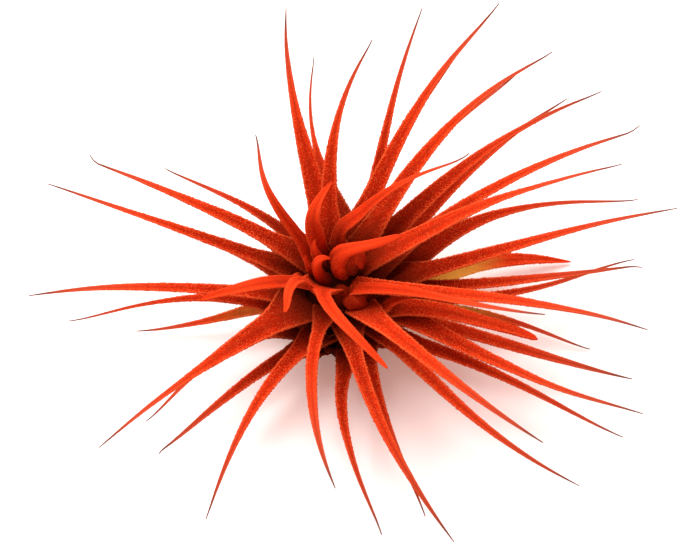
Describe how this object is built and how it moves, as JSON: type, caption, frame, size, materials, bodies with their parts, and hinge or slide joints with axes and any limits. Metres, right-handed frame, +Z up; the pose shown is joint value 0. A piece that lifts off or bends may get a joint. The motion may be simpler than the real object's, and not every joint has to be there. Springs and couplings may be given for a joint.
{
  "type": "sky plant",
  "caption": "Bare sky plant: a rosette of narrow, channelled, tapering leaves that arch out from a short stem and stands on its flat foot.",
  "frame": {"origin": "middle of the flat foot of the stem, on the surface that the plant stands on", "axes": "+Z up along the stem, -Y toward the front, where the leaves droop lowest, +X to the right"},
  "size_m": [0.0972, 0.085, 0.0387],
  "materials": {
    "leaf": "velvety, dyed red-orange, olive where the dye is missing",
    "young_leaf": "velvety, dyed bright red-orange",
    "stem": "dry, brown and papery"
  },
  "bodies": {
    "root": {"heart_leaf_1": "young_leaf", "heart_leaf_2": "young_leaf", "heart_leaf_3": "young_leaf", "heart_leaf_4": "young_leaf", "heart_leaf_5": "young_leaf", "heart_leaf_6": "young_leaf", "heart_leaf_7": "young_leaf", "heart_leaf_8": "young_leaf", "leaf_back_1": "leaf", "leaf_back_10": "leaf", "leaf_back_11": "leaf", "leaf_back_12": "leaf", "leaf_back_13": "leaf", "leaf_back_2": "leaf", "leaf_back_3": "leaf", "leaf_back_4": "leaf", "leaf_back_5": "leaf", "leaf_back_6": "leaf", "leaf_back_7": "leaf", "leaf_back_8": "leaf", "leaf_back_9": "leaf", "leaf_front_1": "leaf", "leaf_front_2": "leaf", "leaf_front_3": "leaf", "leaf_front_4": "leaf", "leaf_front_5": "leaf", "leaf_front_6": "leaf", "leaf_front_7": "leaf", "leaf_front_8": "leaf", "leaf_left_1": "leaf", "leaf_left_10": "leaf", "leaf_left_11": "leaf", "leaf_left_12": "leaf", "leaf_left_13": "leaf", "leaf_left_14": "leaf", "leaf_left_2": "leaf", "leaf_left_3": "leaf", "leaf_left_4": "leaf", "leaf_left_5": "leaf", "leaf_left_6": "leaf", "leaf_left_7": "leaf", "leaf_left_8": "leaf", "leaf_left_9": "leaf", "leaf_right_1": "leaf", "leaf_right_10": "leaf", "leaf_right_11": "leaf", "leaf_right_12": "leaf", "leaf_right_13": "leaf", "leaf_right_14": "leaf", "leaf_right_2": "leaf", "leaf_right_3": "leaf", "leaf_right_4": "leaf", "leaf_right_5": "leaf", "leaf_right_6": "leaf", "leaf_right_7": "leaf", "leaf_right_8": "leaf", "leaf_right_9": "leaf", "stem": "stem"}
  },
  "joints": []
}
